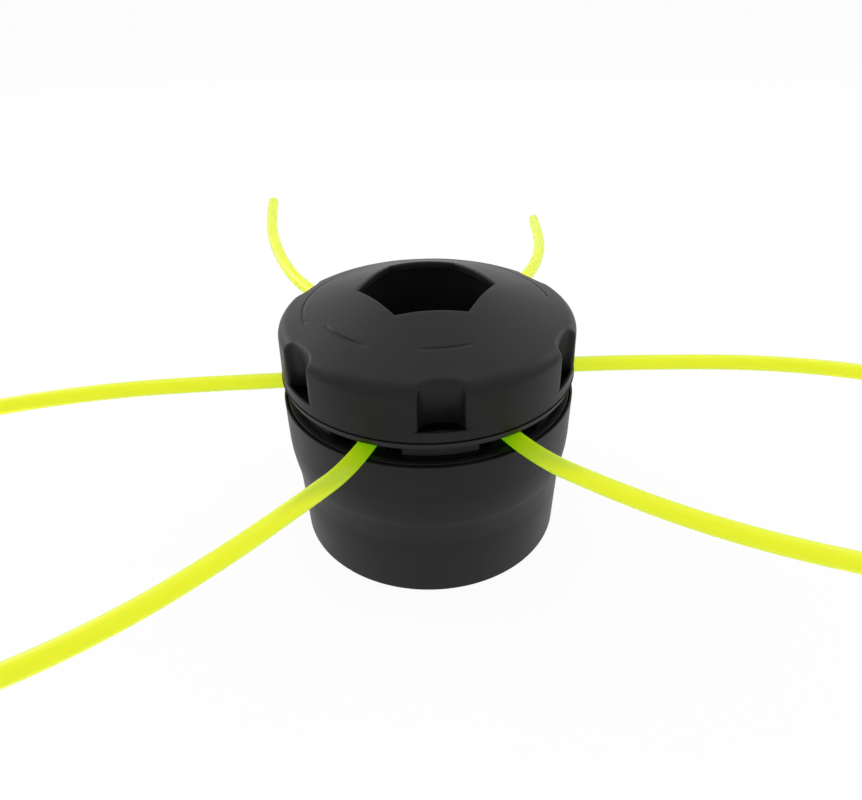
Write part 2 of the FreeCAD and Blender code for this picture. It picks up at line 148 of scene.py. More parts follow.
class Recipe:
    """The nodes of one material or world, added step by step."""

    def __init__(self, owner: bpy.types.Material | bpy.types.World) -> None:
        """Start with an empty node tree.

        Args:
            owner: the material or world that the nodes belong to.
        """
        owner.use_nodes = True
        self.owner = owner
        self.tree = owner.node_tree
        self.tree.nodes.clear()

    def node(self, kind: str, settings: dict[str, Any] | None = None,
             inputs: dict[str | int, Any] | None = None, output: str | int = 0) -> Wire:
        """Add one node.

        Args:
            kind: the node's type.
            settings: properties to set first; stops holds a colour ramp's stops.
            inputs: values or wires for its sockets, by name or number.
            output: the output to return.

        Returns:
            The chosen output as a wire.
        """
        made = self.tree.nodes.new(kind)
        for key, value in (settings or {}).items():
            if key == "stops":
                self._stops(made.color_ramp, value)
            else:
                setattr(made, key, value)
        for key, value in (inputs or {}).items():
            if isinstance(value, Wire):
                self.tree.links.new(value.socket, made.inputs[key])
            else:
                made.inputs[key].default_value = value
        return Wire(self, made.outputs[output])

    @staticmethod
    def _stops(ramp: bpy.types.ColorRamp, stops: Stops) -> None:
        """Give a ramp its grey stops.

        Args:
            ramp: the ramp.
            stops: pairs of position and level.
        """
        while len(ramp.elements) < len(stops):
            ramp.elements.new(0.5)
        for element, (position, level) in zip(ramp.elements, stops):
            element.position = position
            element.color = (level, level, level, 1.0)

    def place(self) -> Wire:
        """Object coordinates."""
        return self.node("ShaderNodeTexCoord", output="Object")

    def noise(self, noise: Noise, vector: Wire | None = None) -> Wire:
        """Noise from 0 to 1.

        Args:
            noise: its size and character.
            vector: coordinates, or None for Object coordinates.

        Returns:
            The noise as a wire.
        """
        return self.node("ShaderNodeTexNoise", {"noise_dimensions": "3D"},
                         {"Vector": vector or self.place(), "Scale": 1 / noise.size,
                          "Detail": noise.detail, "Roughness": noise.roughness}, "Fac")

    def ramp(self, value: Wire, stops: Stops) -> Wire:
        """Map a value through grey stops."""
        return self.node("ShaderNodeValToRGB", {"stops": stops}, {"Fac": value})

    def mix(self, factor: Wire, first: Colour, second: Colour) -> Wire:
        """Mix two colours.

        Args:
            factor: share of the second colour.
            first: the colour at 0.
            second: the colour at 1.

        Returns:
            The mixed colour.
        """
        colours = {0: factor, 6: (*first, 1.0), 7: (*second, 1.0)}
        return self.node("ShaderNodeMix", {"data_type": "RGBA"}, colours, 2)

    def bump(self, height: Wire, depth: float, strength: float, normal: Wire | None = None) -> Wire:
        """A normal that shows height as relief.

        Args:
            height: relief from 0 to 1.
            depth: its depth in metres.
            strength: how much of it shows.
            normal: the normal to start from, if not the surface's own.

        Returns:
            The new normal.
        """
        inputs = {"Height": height, "Distance": depth, "Strength": strength}
        if normal is not None:
            inputs["Normal"] = normal
        return self.node("ShaderNodeBump", None, inputs)

    def rounded(self, radius: float) -> Wire:
        """A normal that softens sharp edges to a radius in metres."""
        return self.node("ShaderNodeBevel", {"samples": ROUNDING_SAMPLES}, {"Radius": radius})

    def surface(self, **sockets: Any) -> Wire:
        """The main shader, with _ in place of each space in its sockets' names."""
        inputs = {key.replace("_", " "): value for key, value in sockets.items()}
        return self.node("ShaderNodeBsdfPrincipled", None, inputs)

    def show(self, shader: Wire) -> Any:
        """Join a shader to the tree's output.

        Args:
            shader: what the surface or the world shows.

        Returns:
            The finished material or world.
        """
        world = isinstance(self.owner, bpy.types.World)
        kind = "ShaderNodeOutputWorld" if world else "ShaderNodeOutputMaterial"
        output = self.tree.nodes.new(kind)
        self.tree.links.new(shader.socket, output.inputs["Surface"])
        return self.owner


@dataclass(frozen=True)
class Mark:
    """A fine groove along the cap's dome, between two azimuths."""

    radius: float
    middle: float  # azimuth in degrees
    half: float  # degrees from there to either end
    width: float = 0.65 * MM  # from the root to either edge
    ends: float = 25.0  # the higher this is, the shorter the ends fade

    def height(self, recipe: Recipe) -> Wire:
        """Relief of the groove.

        Args:
            recipe: the material that gets it.

        Returns:
            The relief, from 0 beside the groove to -1 at its root.
        """
        level = {0: recipe.place(), 1: (1.0, 1.0, 0.0)}
        flat = recipe.node("ShaderNodeVectorMath", {"operation": "MULTIPLY"}, level)
        radius = recipe.node("ShaderNodeVectorMath", {"operation": "LENGTH"}, {0: flat}, "Value")
        aim = (math.cos(math.radians(self.middle)), math.sin(math.radians(self.middle)), 0.0)
        towards = recipe.node("ShaderNodeVectorMath", {"operation": "DOT_PRODUCT"},
                              {0: flat, 1: aim}, "Value")
        beyond = towards / radius - math.cos(math.radians(self.half))
        inside = (beyond * self.ends).most(0.0).least(1.0)
        aside = (radius - self.radius).most(self.radius - radius) / self.width
        return (aside.least(1.0) - 1.0) * inside


@dataclass(frozen=True)
class MouldedNylon:
    """Black glass-filled nylon with a fine spark-eroded grain and rounded arrises."""

    name: str
    dark: Colour = (0.0086, 0.0081, 0.0088)
    light: Colour = (0.0150, 0.0143, 0.0152)
    roughness: float = 0.44
    sheen: float = 0.15
    refraction: float = 1.52
    clouds: Noise = Noise(9 * MM, 4, 0.6)
    cloud_stops: Stops = ((0.3, 0.0), (0.7, 1.0))
    cloud_tone: float = 0.6
    cloud_gloss: float = 0.07
    specks: Noise = Noise(0.6 * MM, 3, 0.7)
    speck_stops: Stops = ((0.45, 0.0), (0.75, 1.0))
    speck_tone: float = 0.4
    grain: Noise = Noise(0.35 * MM, 3, 0.6)
    grain_depth: float = 0.012 * MM
    grain_strength: float = 0.8
    grain_gloss: float = 0.06
    sinks: Noise = Noise(14 * MM, 2, 0.4)
    sink_depth: float = 0.05 * MM
    edge_radius: float = 0.25 * MM
    marks: tuple[Mark, ...] = ()
    mark_depth: float = 0.60 * MM

    def material(self) -> bpy.types.Material:
        """Build the material: cloudy black, uneven gloss, grain and shallow sink marks.

        Returns:
            The material.
        """
        recipe = Recipe(bpy.data.materials.new(self.name))
        clouds = recipe.ramp(recipe.noise(self.clouds), self.cloud_stops)
        specks = recipe.ramp(recipe.noise(self.specks), self.speck_stops)
        tone = clouds * self.cloud_tone + specks * self.speck_tone
        colour = recipe.mix(tone, self.dark, self.light)
        grain = recipe.noise(self.grain)
        sinks = recipe.noise(self.sinks)
        soft = recipe.rounded(self.edge_radius)
        shallow = recipe.bump(sinks, self.sink_depth, 1.0, soft)
        normal = recipe.bump(grain, self.grain_depth, self.grain_strength, shallow)
        for mark in self.marks:
            normal = recipe.bump(mark.height(recipe), self.mark_depth, 1.0, normal)
        smoothest = self.roughness - self.grain_gloss
        gloss = clouds * self.cloud_gloss + grain * self.grain_gloss + smoothest
        return recipe.show(recipe.surface(Base_Color=colour, Roughness=gloss, Normal=normal,
                                          IOR=self.refraction, Specular_IOR_Level=self.sheen))


@dataclass(frozen=True)
class FluorescentLine:
    """Clear yellow nylon with a painted green glow, a constant emission though the line is no lamp, and
    fine draw streaks along it.
    """

    name: str
    core: Colour = (0.94, 0.74, 0.003)
    streak: Colour = (0.97, 0.80, 0.006)
    # painted glow: a constant green emission that stands in for light and shade; the line is no lamp
    painted_glow: Colour = (0.07, 1.0, 0.0)
    painted_glow_strength: float = 0.14
    clearness: float = 0.66
    sheen: float = 0.18
    refraction: float = 1.53
    roughness: float = 0.32
    streaks: Noise = Noise(0.5, 3, 0.6)  # in stretched UV units
    streak_stretch: Point = (1.5, 9.0, 1.0)
    streak_tone: float = 0.7
    streak_depth: float = 0.06 * MM
    streak_strength: float = 0.5
    specks: Noise = Noise(1.2 * MM, 3, 0.6)
    speck_tone: float = 0.3
    speck_gloss: float = 0.10

    def material(self) -> bpy.types.Material:
        """Build the material from streaks that run along the line's own UV map.

        Returns:
            The material.
        """
        recipe = Recipe(bpy.data.materials.new(self.name))
        along = recipe.node("ShaderNodeTexCoord", output="UV")
        drawn = recipe.node("ShaderNodeMapping", None, {"Vector": along, "Scale": self.streak_stretch})
        streaks = recipe.noise(self.streaks, drawn)
        specks = recipe.noise(self.specks)
        tone = streaks * self.streak_tone + specks * self.speck_tone
        colour = recipe.mix(tone, self.core, self.streak)
        normal = recipe.bump(streaks, self.streak_depth, self.streak_strength)
        gloss = specks * self.speck_gloss + (self.roughness - self.speck_gloss / 2)
        return recipe.show(recipe.surface(Base_Color=colour, Roughness=gloss, Normal=normal,
                                          IOR=self.refraction,
                                          Specular_IOR_Level=self.sheen,
                                          Transmission_Weight=self.clearness,
                                          # the painted glow: emission that shows whether any lamp reaches
                                          # the line or not
                                          Emission_Color=(*self.painted_glow, 1.0),
                                          Emission_Strength=self.painted_glow_strength))


@dataclass(frozen=True)
class PlatedSteel:
    """Zinc-plated steel with turning marks round the axis and a few dull patches."""

    name: str
    bright: Colour = (0.66, 0.66, 0.67)
    dull: Colour = (0.46, 0.46, 0.48)
    roughness: float = 0.28
    patches: Noise = Noise(3 * MM, 4, 0.6)
    patch_stops: Stops = ((0.35, 0.0), (0.65, 1.0))
    patch_gloss: float = 0.16
    mark_scale: float = 200.0  # marks 1.6 mm apart
    mark_wander: float = 1.5
    mark_octaves: float = 2.0
    mark_depth: float = 0.01 * MM
    mark_strength: float = 0.5
    mark_gloss: float = 0.05

    def material(self) -> bpy.types.Material:
        """Build the material.

        Returns:
            The material.
        """
        recipe = Recipe(bpy.data.materials.new(self.name))
        patches = recipe.ramp(recipe.noise(self.patches), self.patch_stops)
        rings = recipe.node("ShaderNodeTexWave", {"wave_type": "RINGS", "rings_direction": "Z"},
                            {"Vector": recipe.place(), "Scale": self.mark_scale,
                             "Distortion": self.mark_wander, "Detail": self.mark_octaves}, "Fac")
        colour = recipe.mix(patches, self.bright, self.dull)
        normal = recipe.bump(rings, self.mark_depth, self.mark_strength)
        smoothest = self.roughness - self.mark_gloss
        gloss = patches * self.patch_gloss + rings * self.mark_gloss + smoothest
        return recipe.show(recipe.surface(Base_Color=colour, Metallic=1.0, Roughness=gloss, Normal=normal))


@dataclass(frozen=True)
class Bend:
    """A smooth change of slope in a wall's outline."""

    height: float
    half: float  # half the height over which the slope changes
    change: float

    def reach(self, z: float) -> float:
        """How far the bend has moved the wall outwards.

        Args:
            z: the height at which it is asked.

        Returns:
            The distance, which is negative where the bend goes inwards.
        """
        if z <= self.height - self.half:
            return 0.0
        if z >= self.height + self.half:
            return self.change * (z - self.height)
        return self.change * (z - self.height + self.half) ** 2 / (4 * self.half)


@dataclass(frozen=True)
class Wall:
    """Outline of a turned wall, from its foot up."""

    foot_r: float
    slope: float
    bends: tuple[Bend, ...]

    def radius(self, z: float) -> float:
        """Radius at a height."""
        return self.foot_r + self.slope * z + sum(bend.reach(z) for bend in self.bends)


@dataclass
class Moulding:
    """A moulded piece: a copy of the model's whose outer faces move to the photograph's proportions.

    They move by up to a few millimetres. The seats and holes stay where the model has them.
    """

    node: str
    name: str
    body: str
    finish: MouldedNylon

    def build(self, nodes: dict[str, bpy.types.Object]) -> None:
        """Make the piece and put it in place of the model's.

        Args:
            nodes: the model's nodes by name.
        """
        piece = merged_copy(nodes[self.node], self.name)
        for corner in piece.data.vertices:
            corner.co = self.moved(corner.co)
        paint(piece, self.finish.material())
        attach(piece, self.body)
        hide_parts(self.node)
        LOG.info("%s: %d faces", piece.name, len(piece.data.polygons))

    def moved(self, place: Vector) -> Vector:
        """Where a point of the model's mesh goes."""
        raise NotImplementedError


@dataclass
class Cup(Moulding):
    """The cup, with a wider foot and a taper that lies higher and is softer than the model's."""

    node: str = "housing"
    name: str = "cup_fitted"
    body: str = "head"
    finish: MouldedNylon = MouldedNylon("nylon_cup")
    model_wall: Wall = Wall(34.28 * MM, 0.0280, (Bend(15.0 * MM, 0.6 * MM, 0.2120),
                                                 Bend(22.5 * MM, 0.6 * MM, -0.2125)))
    photo_wall: Wall = Wall(34.78 * MM, 0.0324, (Bend(19.2 * MM, 2.8 * MM, 0.1599),
                                                 Bend(27.0 * MM, 3.2 * MM, -0.1848)))
    heights: tuple[tuple[float, float], ...] = (  # in the model, and where they go
        (0.7 * MM, 0.7 * MM), (14.4 * MM, 16.4 * MM), (15.6 * MM, 22.0 * MM),
        (21.9 * MM, 23.8 * MM), (23.1 * MM, 30.2 * MM), (37.5 * MM, 37.5 * MM), (41.0 * MM, 40.7 * MM))
    wall_depth: float = 3.0 * MM  # what lies deeper than this under the wall stays
    foot_z: float = 0.75 * MM  # what lies lower belongs to the foot
    foot_inner_r: float = 31.0 * MM
    foot_outer_r: float = 33.53 * MM
    lip_z: float = 40.9 * MM  # what lies higher belongs to the lip's top
    lip_flare: float = 0.3 * MM

    def moved(self, place: Vector) -> Vector:
        """Where a point of the cup goes.

        Args:
            place: the point in the model.

        Returns:
            Its new place.
        """
        radius = math.hypot(place.x, place.y)
        if place.z < self.foot_z:
            wider = self.photo_wall.radius(0.0) - self.model_wall.radius(0.0)
            share = between(radius, self.foot_inner_r, self.foot_outer_r)
            return at_radius(place, radius + wider * share, place.z)
        depth = self.model_wall.radius(place.z) - radius
        if depth > self.wall_depth:
            return place.copy()
        height = follow(place.z, self.heights)
        if place.z > self.lip_z and depth > self.lip_flare:
            depth -= self.lip_flare
        return at_radius(place, self.photo_wall.radius(height) - depth, height)


@dataclass
class Carrier(Moulding):
    """The line carrier, whose flange stands out further and slants under its edge."""

    node: str = "carrier"
    name: str = "carrier_fitted"
    body: str = "head"
    finish: MouldedNylon = MouldedNylon("nylon_carrier", roughness=0.40, grain_depth=0.008 * MM)
    flange_r: float = 35.9 * MM
    flange_near: float = 0.3 * MM  # what lies this near to that radius is its edge
    flange_low_z: float = 45.0 * MM
    flange_mid_z: float = 46.0 * MM
    out_above: float = 1.0 * MM
    out_below: float = 0.35 * MM

    def moved(self, place: Vector) -> Vector:
        """Where a point of the carrier goes.

        Args:
            place: the point in the model.

        Returns:
            Its new place.
        """
        radius = math.hypot(place.x, place.y)
        if abs(radius - self.flange_r) > self.flange_near or place.z < self.flange_low_z:
            return place.copy()
        out = self.out_above if place.z > self.flange_mid_z else self.out_below
        return at_radius(place, radius + out, place.z)


@dataclass(frozen=True)
class Mouth:
    """The cap's hexagonal opening, whose rounding gets tighter about its corner."""

    outer_r: float = 19.0 * MM  # no part of it lies further out
    half: float = 14.3 * MM  # half its width across the flats
    edge: float = 1.2 * MM  # reach of the rounding
    kept: float = 0.4  # share of the rounding that is kept
    apex_z: float = 72.81 * MM  # where the dome's cone would come to its point

    def moved(self, place: Vector, slope: float) -> Vector:
        """Where a point of the mouth goes.

        Args:
            place: the point in the model.
            slope: fall of the dome for each length outwards.

        Returns:
            Its new place.
        """
        radius = math.hypot(place.x, place.y)
        turns = [PHASE + SIXTH * side for side in range(SIXTHS)]
        reach = max(place.x * math.cos(turn) + place.y * math.sin(turn) for turn in turns)
        corner_z = self.apex_z - radius * self.half / reach * slope
        out = reach - self.half
        if out < -SLACK or out > self.edge or abs(place.z - corner_z) > self.edge:
            return place.copy()
        return at_radius(place, radius * (self.half + self.kept * out) / reach,
                         corner_z + self.kept * (place.z - corner_z))


@dataclass(frozen=True)
class Scoops:
    """The cap's six finger scoops, which get squarer and a back that leans."""

    ring_r: float = 37.4 * MM  # from the head's axis to a scoop's own
    scoop_r: float = 5.6 * MM
    half: float = 4.95 * MM  # half the new width
    squareness: float = 4.0
    low_z: float = 44.75 * MM  # what lies lower stays
    skin_z: float = 49.95 * MM  # what lies lower in the cap's outer face stays
    floor_z: float = 49.7 * MM
    lean: float = 0.175
    hold: float = 7.5 * MM  # faces this near to the scoop's axis move with its wall
    fade: float = 12.5 * MM  # faces further away stay
    band_r: float = 34.9 * MM  # inner face of the band under the scoops
    ledge_r: float = 35.6 * MM  # inner edge of the ledge on its top

    def pulled(self, place: Vector, skin_r: float) -> Vector:
        """Where a point goes, level with itself and not yet held to a face.

        Args:
            place: the point in the model.
            skin_r: radius beyond which lies the cap's outer face.

        Returns:
            Its new place.
        """
        sector = round((math.atan2(place.y, place.x) - PHASE) / SIXTH)
        azimuth = PHASE + sector * SIXTH
        out = Vector((math.cos(azimuth), math.sin(azimuth), 0.0))
        side = Vector((-math.sin(azimuth), math.cos(azimuth), 0.0))
        inward = self.ring_r - place.dot(out)
        across = place.dot(side)
        away = math.hypot(inward, across)
        skin = math.hypot(place.x, place.y) > skin_r and place.z < self.skin_z
        if place.z < self.low_z or away > self.fade or skin:
            return place.copy()
        depth = self.scoop_r - self.lean * max(0.0, place.z - self.floor_z)
        lengthwise = (abs(inward) / away / depth) ** self.squareness
        crosswise = (abs(across) / away / self.half) ** self.squareness
        shift = (lengthwise + crosswise) ** (-1 / self.squareness) - self.scoop_r
        share = 1.0 - between(away, self.hold, self.fade)
        grown = (away + shift * share) / away
        moved = out * (self.ring_r - inward * grown) + side * (across * grown)
        return Vector((moved.x, moved.y, place.z))

    def held(self, place: Vector, pulled: Vector, skin_r: float) -> float:
        """Radius of a point once it is held to the outer face, the band or the ledge.

        Args:
            place: the point in the model.
            pulled: where the scoops have pulled it.
            skin_r: radius beyond which lies the cap's outer face.

        Returns:
            Its new radius.
        """
        radius = math.hypot(place.x, place.y)
        if radius > skin_r:
            return radius
        if abs(radius - self.band_r) < SLACK and place.z < self.floor_z + SLACK:
            on_ledge = place.z > self.floor_z - SLACK and (pulled - place).length > 0.0
            return self.ledge_r if on_ledge else radius
        return math.hypot(pulled.x, pulled.y)


@dataclass
class Cap(Moulding):
    """The twist cap, with a wider wall, squarer scoops and a tighter mouth than the model's."""

    node: str = "cap"
    name: str = "cap_fitted"
    body: str = "knob"
    finish: MouldedNylon = MouldedNylon("nylon_cap", roughness=0.42, marks=(
        Mark(30.0 * MM, 102.0, 97.0), Mark(26.6 * MM, 225.0, 17.0), Mark(25.6 * MM, 279.5, 14.5)))
    mouth: Mouth = Mouth()
    scoops: Scoops = Scoops()
    skin_r: float = 35.95 * MM
    growth: float = 0.4 * MM  # how far the wall moves out
    growth_inner_r: float = 30.0 * MM  # what lies further in stays
    growth_outer_r: float = 34.0 * MM  # what lies further out moves all the way
    edge_z: float = 47.1 * MM  # what lies lower belongs to the lower edge
    edge_lift: float = 0.25 * MM
    dome_slope: float = math.tan(math.radians(19.3))
    shoulder_low_z: float = 57.6 * MM
    shoulder_high_z: float = 61.0 * MM

    def moved(self, place: Vector) -> Vector:
        """Where a point of the cap goes.

        Args:
            place: the point in the model.

        Returns:
            Its new place.
        """
        radius = math.hypot(place.x, place.y)
        if radius < self.mouth.outer_r:
            return self.mouth.moved(place, self.dome_slope)
        pulled = self.scoops.pulled(place, self.skin_r)
        growth = self.growth * between(radius, self.growth_inner_r, self.growth_outer_r)
        grown = self.scoops.held(place, pulled, self.skin_r) + growth
        on_dome = between(place.z, self.shoulder_low_z, self.shoulder_high_z)
        height = place.z - (grown - radius) * self.dome_slope * on_dome
        if radius > self.growth_outer_r and place.z < self.edge_z:
            height += self.edge_lift
        return at_radius(pulled, grown, height)


@dataclass
class Hardware:
    """The steel pieces: threaded arbor nut, washer, screws and line stops."""

    across_flats: float = 17.0 * MM
    nut_low: float = 6.1 * MM
    seat: float = 16.0 * MM  # underside of the nut's flange
    flange_r: float = 12.0 * MM
    flange_t: float = 2.5 * MM
    flange_bevel: float = 0.6 * MM
    arris: float = 0.25 * MM
    bore_r: float = 4.4 * MM
    thread_r: float = 5.05 * MM  # at the root of the groove
    groove_half: float = 0.49 * MM
    pitch: float = 1.25 * MM
    lead_in: float = 0.7 * MM
    flank: float = math.radians(60)  # angle of the thread's profile
    steps: int = 40
    rounds: int = 96
    crease: float = math.radians(32)  # edges sharper than this stay sharp
    plating: PlatedSteel = PlatedSteel("plated_steel")
    crimps: PlatedSteel = PlatedSteel("crimped_steel", roughness=0.36)

    def dress(self, nodes: dict[str, bpy.types.Object]) -> None:
        """Give the steel nodes their finishes and put the threaded nut in place of the plain one.

        Args:
            nodes: the model's nodes by name.
        """
        plated = self.plating.material()
        crimped = self.crimps.material()
        for name, node in nodes.items():
            if name.startswith("line_stop"):
                paint(node, crimped)
            elif name.startswith(("arbor", "thrust", "carrier_screw")):
                paint(node, plated)
        nut = self._nut()
        paint(nut, plated)
        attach(nut, "head")
        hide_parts("arbor_nut")
        LOG.info("%s: %d faces", nut.name, len(nut.data.polygons))

    def _nut(self) -> bpy.types.Object:
        """A flanged hexagon nut with a left-hand thread.

        Returns:
            The nut, at its place in the cup's boss.
        """
        corner_r = self.across_flats / 2 / math.cos(SIXTH / 2)
        top = self.seat + self.flange_t
        nut = self._round(SIXTHS, corner_r, self.nut_low, self.seat + self.arris, PHASE)
        bevel_edges(nut, self.arris, lambda place: place.z < self.seat)
        flange = self._round(self.rounds, self.flange_r, self.seat, top)
        bevel_edges(flange, self.flange_bevel, lambda place: place.z > top - self.arris)
        combine(nut, flange, Cut.ADD)
        past = self.pitch
        combine(nut, self._round(self.rounds, self.bore_r, self.nut_low - past, top + past), Cut.TAKE)
        combine(nut, self._thread(self.nut_low - 2 * past, top + past), Cut.TAKE)
        for end, outward in ((self.nut_low, -1), (top, 1)):
            combine(nut, self._lead_in(end, outward), Cut.TAKE)
        nut.name = "arbor_nut_threaded"
        bpy.ops.object.select_all(action="DESELECT")
        nut.select_set(True)
        bpy.context.view_layer.objects.active = nut
        bpy.ops.object.shade_smooth_by_angle(angle=self.crease)
        nut.select_set(False)
        return nut

    @staticmethod
    def _round(sides: int, radius: float, low: float, high: float, turn: float = 0.0) -> bpy.types.Object:
        """An upright prism or cylinder about the axis, with its place in its mesh.

        Args:
            sides: number of its sides.
            radius: radius of its corners.
            low: height of its bottom.
            high: height of its top.
            turn: its turn about the axis.

        Returns:
            The prism, as the active object.
        """
        bpy.ops.mesh.primitive_cylinder_add(vertices=sides, radius=radius, depth=high - low,
                                            location=(0, 0, (low + high) / 2), rotation=(0, 0, turn))
        bpy.ops.object.transform_apply(location=True, rotation=True, scale=True)
        return bpy.context.active_object

    def _lead_in(self, end: float, outward: int) -> bpy.types.Object:
        """The cone that opens one end of the bore.

        Args:
            end: height of that end.
            outward: 1 if outwards is up, or -1 if it is down.

        Returns:
            The cone, which is cut away.
        """
        wide = self.thread_r + self.lead_in
        narrow = self.bore_r - self.lead_in
        height = wide - narrow
        middle = end + outward * (height / 2 - self.lead_in - (self.thread_r - self.bore_r))
        radii = (narrow, wide) if outward > 0 else (wide, narrow)
        bpy.ops.mesh.primitive_cone_add(vertices=self.rounds, radius1=radii[0], radius2=radii[1],
                                        depth=height, location=(0, 0, middle))
        bpy.ops.object.transform_apply(location=True, rotation=True, scale=True)
        return bpy.context.active_object

    def _thread(self, low: float, high: float) -> bpy.types.Object:
        """The left-hand helical groove of the thread, as a closed solid.

        Args:
            low: height at which the groove starts.
            high: height that it has to pass.

        Returns:
            The groove.
        """
        reach = self.groove_half / math.sin(self.flank)
        quarter = math.radians(-90)
        bpy.ops.mesh.primitive_circle_add(vertices=3, radius=reach, fill_type="NOTHING",
                                          location=(self.thread_r - reach, 0, low),
                                          rotation=(quarter, quarter, 0))
        bpy.ops.object.transform_apply(location=True, rotation=True, scale=True)
        groove = bpy.context.active_object
        turns = math.ceil((high - low) / self.pitch)
        helix = groove.modifiers.new("helix", "SCREW")
        helix.axis = "Z"
        helix.angle = -math.tau
        helix.screw_offset = self.pitch
        helix.iterations = turns
        helix.steps = self.steps
        helix.render_steps = self.steps
        bpy.ops.object.modifier_apply(modifier=helix.name)
        bpy.ops.object.mode_set(mode="EDIT")
        bpy.ops.mesh.select_all(action="SELECT")
        bpy.ops.mesh.fill_holes(sides=3)
        bpy.ops.mesh.select_all(action="SELECT")
        bpy.ops.mesh.normals_make_consistent(inside=False)
        bpy.ops.object.mode_set(mode="OBJECT")
        return groove


@dataclass
class TrimmerLines:
    """Six stiff lines that leave the carrier's windows and keep the set of their spool."""

    diameter: float = 4.0 * MM
    length: float = 123.5 * MM
    stop_radius: float = 23.81 * MM
    straight_radius: float = 41.0 * MM
    window_radius: float = 36.0 * MM
    height: float = 43.15 * MM
    asides: tuple[float, ...] = (-2.3 * MM, 0.0, 0.0, 0.0, 0.0, 2.3 * MM)  # at the straight radius
    order: int = 3
    steps: int = 16  # between two control points
    roundness: int = 8
    finish: FluorescentLine = FluorescentLine("fluorescent_line")
    routes: list[list[Point]] = field(default_factory=lambda: [  # millimetres, from window to tip
        [(35.9, -47.7, 43.2), (50.8, -58.1, 43.3), (66.6, -66.3, 43.5),
         (83.0, -72.3, 43.6), (100.2, -76.0, 43.4), (116.8, -77.3, 43.0)],
        [(59.0, 2.9, 43.2), (76.8, 2.3, 43.3), (94.4, 0.4, 43.2),
         (111.4, -3.6, 42.9), (128.0, -9.6, 42.4), (143.4, -17.3, 41.8)],
        [(27.2, 51.9, 42.9), (35.7, 67.5, 42.3), (40.9, 85.0, 41.4),
         (43.9, 103.0, 40.2), (45.3, 121.2, 38.7), (46.5, 137.8, 37.1)],
        [(-33.9, 47.5, 43.4), (-43.7, 61.2, 44.2), (-51.1, 77.9, 45.3),
         (-56.8, 96.0, 46.6), (-60.3, 114.2, 47.7), (-62.3, 130.9, 48.6)],
        [(-58.4, -4.2, 43.3), (-75.8, -6.3, 43.5), (-93.0, -9.6, 43.4),
         (-110.0, -14.4, 43.1), (-126.4, -21.0, 42.6), (-142.8, -29.2, 42.0)],
        [(-26.0, -50.9, 43.2), (-37.0, -64.2, 43.3), (-49.6, -77.3, 43.4),
         (-64.2, -88.2, 43.3), (-80.6, -96.1, 43.0), (-98.0, -101.4, 42.6)],
    ])

    def build(self, nodes: dict[str, bpy.types.Object]) -> None:
        """Args:
            nodes: the model's nodes by name; not used.
        """
        material = self.finish.material()
        for index, route in enumerate(self.routes):
            start = [self._on_axis(index, self.stop_radius),
                     self._on_axis(index, self.straight_radius, self.asides[index])]
            points = start + [tuple(value * MM for value in point) for point in route]
            line = self._curve(f"trimmer_line_{index + 1}", points)
            paint(line, material)
            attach(line, "head")
            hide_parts(f"line_{index + 1}")
            self._on_axis(index, self.window_radius)
            LOG.info("%s: %d points", line.name, len(points))

    def _on_axis(self, index: int, radius: float, aside: float = 0.0) -> Point:
        """A point on the axis of one window, or to its side.

        Args:
            index: the window's number, from 0.
            radius: how far out along the axis.
            aside: how far to its side, anticlockwise.

        Returns:
            The point.
        """
        angle = PHASE + SIXTH * (index + 0.5)
        return (radius * math.cos(angle) - aside * math.sin(angle),
                radius * math.sin(angle) + aside * math.cos(angle), self.height)

    def _curve(self, name: str, points: Iterable[Point]) -> bpy.types.Object:
        """One smooth round curve.

        Args:
            name: the new object's name.
            points: control points in metres.

        Returns:
            The curve object, at the origin.
        """
        route = list(points)
        data = bpy.data.curves.new(name, "CURVE")
        data.dimensions = "3D"
        spline = data.splines.new("NURBS")
        spline.points.add(len(route) - 1)
        for control, place in zip(spline.points, route):
            control.co = (*place, 1.0)
        spline.order_u = self.order
        spline.use_endpoint_u = True
        spline.resolution_u = self.steps
        data.bevel_depth = self.diameter / 2
        data.bevel_resolution = self.roundness
        data.use_fill_caps = True
        line = bpy.data.objects.new(name, data)
        bpy.context.scene.collection.objects.link(line)
        return line


@dataclass(frozen=True)
class Softbox:
    """A square lamp that faces the head."""

    name: str
    place: Point
    size: float
    power: float

    def hang(self, target: Point) -> None:
        """Add the lamp.

        Args:
            target: what it faces.
        """
        data = bpy.data.lights.new(self.name, "AREA")
        data.shape = "SQUARE"
        data.size = self.size
        data.energy = self.power
        lamp = bpy.data.objects.new(self.name, data)
        lamp.location = self.place
        lamp.rotation_euler = (Vector(target) - Vector(self.place)).to_track_quat("-Z", "Y").to_euler()
        bpy.context.scene.collection.objects.link(lamp)


